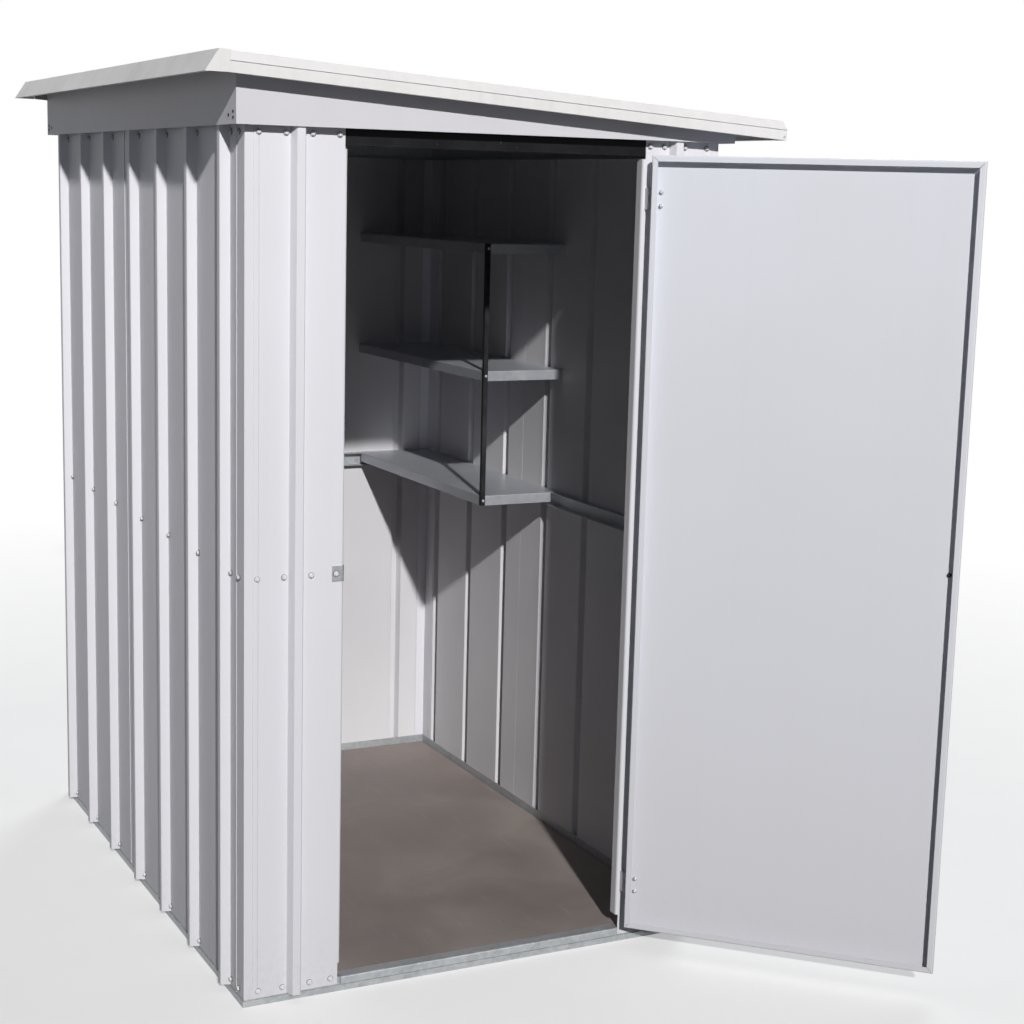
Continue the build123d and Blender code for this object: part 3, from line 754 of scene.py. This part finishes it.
front_places = []
for step in (0.028, 0.084, 0.139, 0.195):
    front_places.append((to_front, (left_face + step, front_face, top_row)))
for step in (0.031, 0.086, 0.137, 0.172):
    front_places.append((to_front, (right_face - step, front_face, top_row)))
for step in (0.027, 0.084, 0.142):
    front_places.append((to_front, (left_face + step, front_face, middle_row)))
    front_places.append((to_front, (right_face - step, front_face, middle_row)))
for step in (0.031, 0.084, 0.144, 0.191):
    front_places.append((to_front, (left_face + step, front_face, foot_row)))
for step in (0.031, 0.084, 0.144):
    front_places.append((to_front, (right_face - step, front_face, foot_row)))
copies_at(screw, "front_panel_screws", front_places, "shed")

side_steps = (0.030, 0.080, 0.300, 0.520, 0.740, 0.970, 1.190, 1.410, 1.478)
sides = (("left_wall_screws", to_left, left_face), ("right_wall_screws", to_right, right_face))
for name, direction, x in sides:
    side_places = []
    for z in (foot_row, middle_row, top_row):
        for step in side_steps:
            side_places.append((direction, (x, front_face + step, z)))
    copies_at(screw, name, side_places, "shed")

back_steps = (0.030, 0.122, 0.342, 0.562, 0.782, 1.043)
back_places = []
for z in (foot_row, middle_row, top_row):
    for step in back_steps:
        back_places.append((to_back, (left_face + step, back_face, z)))
copies_at(screw, "back_wall_screws", back_places, "shed")

# %% [markdown]
# ## Rivets of the lintel and screw of the striker
# Two rivets go through the lower part of the lintel, and one screw holds the striker to the edge
# of the doorway. They are set on the faces of those pieces.

# %% Place the lintel rivets and the striker screw
lintel_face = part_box("door_header")[0].y
lintel_row = 1.770
# Painted shade: the lintel's rivets are black, for the same shadow over the lintel.
lintel_places = [(to_front, (x, lintel_face, lintel_row)) for x in (-0.132, 0.048)]
copies_at(black_rivet, "lintel_rivets", lintel_places, "shed")

striker_low, striker_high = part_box("striker_bracket")
striker_screw_x = striker_low.x + 0.0085
striker_middle = (striker_low.z + striker_high.z) / 2
striker_places = [(to_front, (striker_screw_x, striker_low.y, striker_middle))]
copies_at(screw, "striker_screw", striker_places, "shed")

# %% [markdown]
# ## Screws in the roof
# The roof sheets are screwed down through their valleys into the flanges of the left and right
# fascias. The trims are riveted to the tops of the ribs that they lie on. The roof falls to the
# right by a little under 4 degrees, so each fixing stands square to that slope.

# %% Place the roof screws and the rivets of the trims
roof_fall, walls_width = 0.0706, 1.073
roof_fall_per_metre = roof_fall / walls_width
roof_normal = (roof_fall_per_metre, 0, 1)
low_eaves_height = 1.8324


def underside(x):
    """Height of the roof sheets' underside at a place across the shed."""
    return low_eaves_height + roof_fall_per_metre * (right_face - x)


roof_front, roof_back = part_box("roof_trim_high")[0].y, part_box("roof_trim_high")[1].y
crown_row = 0.032
rib_gaps = 7
rib_step = (roof_back - roof_front - 2 * crown_row) / rib_gaps
rib_rows = [roof_front + crown_row + number * rib_step for number in range(rib_gaps + 1)]

flange_line = 0.003
valley_step = rib_step / 2 + 0.040
sheet_places = []
for x in (left_face - flange_line, right_face + flange_line):
    for y in rib_rows[:-1]:
        place = (x, y + valley_step, underside(x) + sheet_thickness)
        sheet_places.append((roof_normal, place))
copies_at(screw, "roof_sheet_screws", sheet_places, "shed")

trim_top = 0.0219
high_edge, low_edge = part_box("roof_trim_high")[0].x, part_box("roof_trim_low")[1].x
high_trim_row, low_trim_row = high_edge + 0.0465, low_edge - 0.032
trim_places = []
for x, rows in ((high_trim_row, rib_rows), (low_trim_row, rib_rows[1:-1])):
    for y in rows:
        trim_places.append((roof_normal, (x, y, underside(x) + trim_top)))
for y in (rib_rows[0], rib_rows[-1]):
    for x in (-0.45, -0.15, 0.15, 0.45):
        trim_places.append((roof_normal, (x, y, underside(x) + trim_top)))
copies_at(rivet, "roof_trim_rivets", trim_places, "shed")

# %% [markdown]
# ## Rivets
# Rivets close the corners of the fascias and hold the closed ends of the front and back trims.
# Each corner of a fascia has a pair, one over the other, and a single one further in.

# %% Place the rivets
rivet_row = 1.8125
pair_rows = (1.8075, 1.8185)
pair_outside, single_inside = 0.007, 0.021
fascia_places = []
for name, direction, side in (("left_fascia", to_left, 0), ("right_fascia", to_right, 1)):
    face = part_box(name)[side].x
    for y in (front_face - pair_outside, back_face + pair_outside):
        for z in pair_rows:
            fascia_places.append((direction, (face, y, z)))
    for y in (front_face + single_inside, back_face - single_inside):
        fascia_places.append((direction, (face, y, rivet_row)))
copies_at(black_rivet, "fascia_rivets", fascia_places, "shed")

trim_end = low_edge - 0.0057
end_places = [
    (to_front, (trim_end, roof_front + fine_nose, rivet_row)),
    (to_back, (trim_end, roof_back - fine_nose, rivet_row)),
]
copies_at(rivet, "trim_end_rivets", end_places, "shed")

# %% [markdown]
# ## Bolts of the shelves
# One bolt at each shelf goes through the post into the shelf's folded edge.

# %% Place the shelf bolts
post_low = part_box("shelf_post")[0]
post_bolt_x = post_low.x + 0.0058
below_shelf_top = 0.0125
shelf_places = []
for name in shelf_pieces:
    shelf_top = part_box(name)[1].z
    shelf_places.append((to_front, (post_bolt_x, post_low.y, shelf_top - below_shelf_top)))
copies_at(zinc_bolt, "shelf_bolts", shelf_places, "shed")

# %% [markdown]
# ## Bolts of the hinges
# Each hinge is bolted to the front panel by two black bolts and to the door by two zinc ones,
# whose nuts show inside the door. The bolts on both of its sides are at the same heights.

# %% Place the hinge bolts on the front panel
leaf_thickness = 0.0015
half_bolt_gap = 0.0145
hinge_rows = []
frame_places = []
for name in ("lower_hinge_frame_leaf", "upper_hinge_frame_leaf"):
    leaf_low, leaf_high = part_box(name)
    middle = (leaf_low.z + leaf_high.z) / 2
    frame_bolt_x = leaf_high.x - 0.0125
    for z in (middle - half_bolt_gap, middle + half_bolt_gap):
        hinge_rows.append(z)
        frame_places.append((to_front, (frame_bolt_x, front_face - leaf_thickness, z)))
copies_at(black_bolt, "hinge_frame_bolts", frame_places, "shed")

# %% [markdown]
# The pins of both hinges stand on one upright line, and the door is open by 135 degrees. The
# places on the door are easier to give for a closed door, so a helper turns them about that line
# to where the door stands open.

# %% Turn places on the closed door to the open door
pin = Vector((0.3565, -0.778, 0))
open_angle = radians(135)
door_turn = Matrix.Rotation(open_angle, 4, "Z")


def on_open_door(direction, place):
    """A direction and a place on the closed door, turned about the hinge pin."""
    turned = door_turn @ (Vector(place) - pin) + pin
    return door_turn @ Vector(direction), turned


pin_gap = 0.004
hinge_edge = pin.x - pin_gap
latch_edge = -0.3345
skin_outside = pin.y - pin_gap
skin_inside = skin_outside + sheet_thickness
print("closed door from x", latch_edge, "to", hinge_edge)

# %% [markdown]
# The heads are on the outside of the leaf, and the nuts are inside, just beside the door's folded
# lip.

# %% Place the hinge bolts on the door
door_bolt_x = hinge_edge - 0.0180
head_places, nut_places = [], []
for z in hinge_rows:
    head = (door_bolt_x, skin_outside - leaf_thickness, z)
    head_places.append(on_open_door(to_front, head))
    nut_places.append(on_open_door(to_back, (door_bolt_x, skin_inside, z)))
copies_at(zinc_bolt, "hinge_door_bolts", head_places, "door")
copies_at(nut, "hinge_door_nuts", nut_places, "door")

# %% [markdown]
# ## Bolt and rivets of the door pull
# The pull is a folded plate outside the door. One bolt goes through it near its fold, and its nut
# shows inside the door. Two rivets hold the plate's other edge.

# %% Place the bolt and rivets of the pull
pull_thickness = 0.002
pull_face = skin_outside - pull_thickness
pull_bolt_x = latch_edge + 0.0215
pull_bolt_row = middle_row + 0.012
pull_bolt = [on_open_door(to_front, (pull_bolt_x, pull_face, pull_bolt_row))]
copies_at(zinc_bolt, "pull_bolt", pull_bolt, "door")
pull_nut = [on_open_door(to_back, (pull_bolt_x, skin_inside, pull_bolt_row))]
copies_at(black_nut, "pull_nut", pull_nut, "door")

rivet_x = latch_edge + 0.047
rivet_rows = (middle_row - 0.018, middle_row + 0.018)
pull_rivets = [on_open_door(to_front, (rivet_x, pull_face, z)) for z in rivet_rows]
copies_at(rivet, "pull_rivets", pull_rivets, "door")

for pattern in (screw, rivet, black_rivet, black_bolt, zinc_bolt, nut, black_nut):
    bpy.data.objects.remove(pattern)

# %% [markdown]
# ## Floor of the studio
# The shed stands on a pale floor that keeps its shadow. Further out the floor turns into the same
# white as the surroundings, so that no horizon shows behind the shed. Only what is seen of the
# floor, directly or mirrored in metal, is pale. The light that it throws back up at the shed is
# that of a dull ground, because a white floor would fill the shade under the roof and inside.

# %% Make the studio floor
ground_grey = (0.17, 0.17, 0.165, 1)
floor_width = 60


def studio_floor_finish():
    """Pale floor that turns white far away, and throws back the light of a dull ground."""
    material, tree, shader, coordinates = start_finish("studio_floor_finish")
    speckle = ranged(tree, noise(tree, coordinates, 5.0, 4.0), 0.3, 0.7, 0.0, 1.0)
    colour = tinted(tree, speckle, (0.83, 0.83, 0.83), (0.86, 0.86, 0.86))
    tree.links.new(colour, shader.inputs["Base Color"])
    shader.inputs["Roughness"].default_value = 0.9

    seen = seen_share(tree)
    dull = tree.nodes.new("ShaderNodeBsdfDiffuse")
    dull.inputs["Color"].default_value = ground_grey
    pale_if_seen = tree.nodes.new("ShaderNodeMixShader")
    tree.links.new(seen, pale_if_seen.inputs[0])
    tree.links.new(dull.outputs[0], pale_if_seen.inputs[1])
    tree.links.new(shader.outputs[0], pale_if_seen.inputs[2])

    distance = tree.nodes.new("ShaderNodeVectorMath")
    distance.operation = "LENGTH"
    tree.links.new(coordinates, distance.inputs[0])
    far = ranged(tree, distance.outputs["Value"], 1.6, 5.0, 0.40, 1.0)
    white = tree.nodes.new("ShaderNodeEmission")
    white.inputs["Strength"].default_value = 1.0
    choose = tree.nodes.new("ShaderNodeMixShader")
    tree.links.new(combined(tree, "MULTIPLY", far, seen), choose.inputs[0])
    tree.links.new(pale_if_seen.outputs[0], choose.inputs[1])
    tree.links.new(white.outputs[0], choose.inputs[2])
    tree.links.new(choose.outputs[0], tree.nodes["Material Output"].inputs["Surface"])
    return material


bpy.ops.object.select_all(action="DESELECT")
bpy.ops.mesh.primitive_plane_add(size=floor_width, location=(0, 0, 0))
studio_floor = bpy.context.active_object
studio_floor.name = "studio_floor"
studio_floor.data.materials.append(studio_floor_finish())
print("studio floor made")
